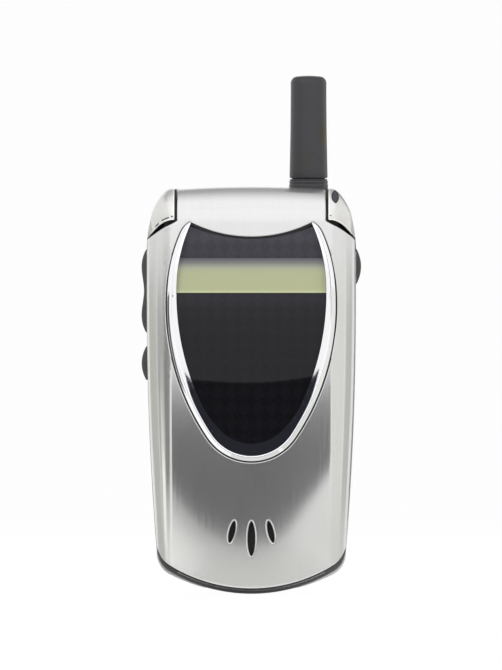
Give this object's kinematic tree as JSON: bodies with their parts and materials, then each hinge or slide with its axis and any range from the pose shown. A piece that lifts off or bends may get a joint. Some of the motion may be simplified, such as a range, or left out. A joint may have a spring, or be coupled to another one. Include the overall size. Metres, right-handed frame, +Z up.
{
  "type": "clamshell mobile phone",
  "caption": "Clamshell mobile phone with a hinged lid, a shield-shaped outer window, side keys, a keypad inside and a pull-out stub antenna.",
  "frame": {"origin": "under the middle of the phone, at its lowest point, halfway through its thickness", "axes": "+Z up along the phone towards the antenna, the shut lid faces -Y, the battery door faces +Y, +X to the right as seen from the front"},
  "size_m": [0.0464, 0.0244, 0.1096],
  "materials": {
    "housing_silver": "satin silver paint",
    "cover_brushed": "brushed along the phone's length",
    "chrome": "polished",
    "frame_dark": "satin dark grey",
    "key_silver": "satin silver",
    "side_key_rubber": "matt",
    "outer_lens": "polished, dark tint",
    "outer_screen": "olive liquid crystal",
    "inner_lens": "clear",
    "inner_screen": "dark",
    "board_green": "solder mask",
    "tin": "pressed tin plate",
    "steel": "plain",
    "gold": "gold plate",
    "antenna_grey": "matt charcoal",
    "battery_grey": "matt",
    "black_plastic": "matt",
    "mat_silicone": "milky silicone",
    "light_window": "dark translucent",
    "bumper_rubber": "matt",
    "flex_amber": "polyimide"
  },
  "bodies": {
    "base": {"back_housing": "housing_silver", "keypad_housing": "frame_dark", "battery_pack": "battery_grey", "battery_contacts": "gold", "main_board": "board_green", "shield_cans": "tin", "dome_sheet": "tin", "keypad_mat": "mat_silicone", "side_switches": "black_plastic", "microphone": "black_plastic", "accessory_connector": "black_plastic", "headset_jack": "black_plastic", "antenna_bushing": "antenna_grey", "status_light": "light_window", "vibration_motor": "tin", "housing_screws": "steel", "rf_plug": "side_key_rubber", "hinge_pins": "steel"},
    "lid": {"flip_cover": "cover_brushed", "flip_inner_housing": "frame_dark", "lens_bezel": "chrome", "outer_lens": "outer_lens", "outer_display": "outer_screen", "inner_lens": "inner_lens", "inner_display": "inner_screen", "flip_board": "board_green", "earpiece": "black_plastic", "ringer": "black_plastic", "ringer_mesh": "black_plastic", "flip_magnet": "steel", "flip_bumpers": "bumper_rubber", "flip_screws": "steel", "hinge_cartridge": "steel", "hinge_flex": "flex_amber"},
    "door": {"battery_door": "housing_silver"},
    "latch": {"battery_latch": "housing_silver"},
    "weight": {"motor_weight": "steel"},
    "antenna": {"antenna_head": "antenna_grey", "antenna_whip": "chrome"},
    "volume_rocker": {"volume_rocker": "side_key_rubber"},
    "smart_key": {"smart_key": "side_key_rubber"},
    "voice_key": {"voice_key": "side_key_rubber"},
    "scroll_rocker": {"scroll_rocker": "key_silver"},
    "key_soft_left": {"key_soft_left": "key_silver"},
    "key_menu": {"key_menu": "key_silver"},
    "key_soft_right": {"key_soft_right": "key_silver"},
    "key_1": {"key_1": "key_silver"},
    "key_2": {"key_2": "key_silver"},
    "key_3": {"key_3": "key_silver"},
    "key_4": {"key_4": "key_silver"},
    "key_5": {"key_5": "key_silver"},
    "key_6": {"key_6": "key_silver"},
    "key_7": {"key_7": "key_silver"},
    "key_8": {"key_8": "key_silver"},
    "key_9": {"key_9": "key_silver"},
    "key_star": {"key_star": "key_silver"},
    "key_0": {"key_0": "key_silver"},
    "key_hash": {"key_hash": "key_silver"},
    "key_send": {"key_send": "key_silver"},
    "key_end": {"key_end": "key_silver"}
  },
  "joints": [
    {"name": "flip_hinge", "type": "hinge", "parent": "base", "child": "lid", "pos_m": [0, -0.00495, 0.0793], "axis": [-1, 0, 0], "range_deg": [0, 145]},
    {"name": "antenna_slide", "type": "slide", "parent": "base", "child": "antenna", "axis": [0, 0, 1], "range_m": [0, 0.055]},
    {"name": "battery_latch_slide", "type": "slide", "parent": "base", "child": "latch", "axis": [0, 0, 1], "range_m": [0, 0.0012], "stiffness_N_per_m": 500, "springref_m": -0.0004},
    {"name": "battery_door_tilt", "type": "hinge", "parent": "base", "child": "door", "pos_m": [0, 0.01152, 0.00778], "axis": [-1, 0, 0], "range_deg": [0, 35]},
    {"name": "motor_spin", "type": "hinge", "parent": "base", "child": "weight", "pos_m": [0.0175, 0.0062, 0.036], "axis": [0, 0, 1], "continuous": true},
    {"name": "volume_rock", "type": "hinge", "parent": "base", "child": "volume_rocker", "pos_m": [-0.0214, 0.003, 0.064], "axis": [0, 1, 0], "range_deg": [-2.2, 2.2], "stiffness_Nm_per_rad": 0.05},
    {"name": "scroll_rock", "type": "hinge", "parent": "base", "child": "scroll_rocker", "pos_m": [0, -0.0012, 0.0176], "axis": [1, 0, 0], "range_deg": [-2.5, 2.5], "stiffness_Nm_per_rad": 0.05},
    {"name": "smart_key_press", "type": "slide", "parent": "base", "child": "smart_key", "axis": [1, 0, 0], "range_m": [0, 0.00035], "stiffness_N_per_m": 2000, "springref_m": -0.0001},
    {"name": "voice_key_press", "type": "slide", "parent": "base", "child": "voice_key", "axis": [-1, 0, 0], "range_m": [0, 0.00035], "stiffness_N_per_m": 2000, "springref_m": -0.0001},
    {"name": "key_soft_left_press", "type": "slide", "parent": "base", "child": "key_soft_left", "axis": [0, 1, 0], "range_m": [0, 0.00035], "stiffness_N_per_m": 2000, "springref_m": -0.0001},
    {"name": "key_menu_press", "type": "slide", "parent": "base", "child": "key_menu", "axis": [0, 1, 0], "range_m": [0, 0.00035], "stiffness_N_per_m": 2000, "springref_m": -0.0001},
    {"name": "key_soft_right_press", "type": "slide", "parent": "base", "child": "key_soft_right", "axis": [0, 1, 0], "range_m": [0, 0.00035], "stiffness_N_per_m": 2000, "springref_m": -0.0001},
    {"name": "key_1_press", "type": "slide", "parent": "base", "child": "key_1", "axis": [0, 1, 0], "range_m": [0, 0.00035], "stiffness_N_per_m": 2000, "springref_m": -0.0001},
    {"name": "key_2_press", "type": "slide", "parent": "base", "child": "key_2", "axis": [0, 1, 0], "range_m": [0, 0.00035], "stiffness_N_per_m": 2000, "springref_m": -0.0001},
    {"name": "key_3_press", "type": "slide", "parent": "base", "child": "key_3", "axis": [0, 1, 0], "range_m": [0, 0.00035], "stiffness_N_per_m": 2000, "springref_m": -0.0001},
    {"name": "key_4_press", "type": "slide", "parent": "base", "child": "key_4", "axis": [0, 1, 0], "range_m": [0, 0.00035], "stiffness_N_per_m": 2000, "springref_m": -0.0001},
    {"name": "key_5_press", "type": "slide", "parent": "base", "child": "key_5", "axis": [0, 1, 0], "range_m": [0, 0.00035], "stiffness_N_per_m": 2000, "springref_m": -0.0001},
    {"name": "key_6_press", "type": "slide", "parent": "base", "child": "key_6", "axis": [0, 1, 0], "range_m": [0, 0.00035], "stiffness_N_per_m": 2000, "springref_m": -0.0001},
    {"name": "key_7_press", "type": "slide", "parent": "base", "child": "key_7", "axis": [0, 1, 0], "range_m": [0, 0.00035], "stiffness_N_per_m": 2000, "springref_m": -0.0001},
    {"name": "key_8_press", "type": "slide", "parent": "base", "child": "key_8", "axis": [0, 1, 0], "range_m": [0, 0.00035], "stiffness_N_per_m": 2000, "springref_m": -0.0001},
    {"name": "key_9_press", "type": "slide", "parent": "base", "child": "key_9", "axis": [0, 1, 0], "range_m": [0, 0.00035], "stiffness_N_per_m": 2000, "springref_m": -0.0001},
    {"name": "key_star_press", "type": "slide", "parent": "base", "child": "key_star", "axis": [0, 1, 0], "range_m": [0, 0.00035], "stiffness_N_per_m": 2000, "springref_m": -0.0001},
    {"name": "key_0_press", "type": "slide", "parent": "base", "child": "key_0", "axis": [0, 1, 0], "range_m": [0, 0.00035], "stiffness_N_per_m": 2000, "springref_m": -0.0001},
    {"name": "key_hash_press", "type": "slide", "parent": "base", "child": "key_hash", "axis": [0, 1, 0], "range_m": [0, 0.00035], "stiffness_N_per_m": 2000, "springref_m": -0.0001},
    {"name": "key_send_press", "type": "slide", "parent": "base", "child": "key_send", "axis": [0, 1, 0], "range_m": [0, 0.00035], "stiffness_N_per_m": 2000, "springref_m": -0.0001},
    {"name": "key_end_press", "type": "slide", "parent": "base", "child": "key_end", "axis": [0, 1, 0], "range_m": [0, 0.00035], "stiffness_N_per_m": 2000, "springref_m": -0.0001}
  ]
}
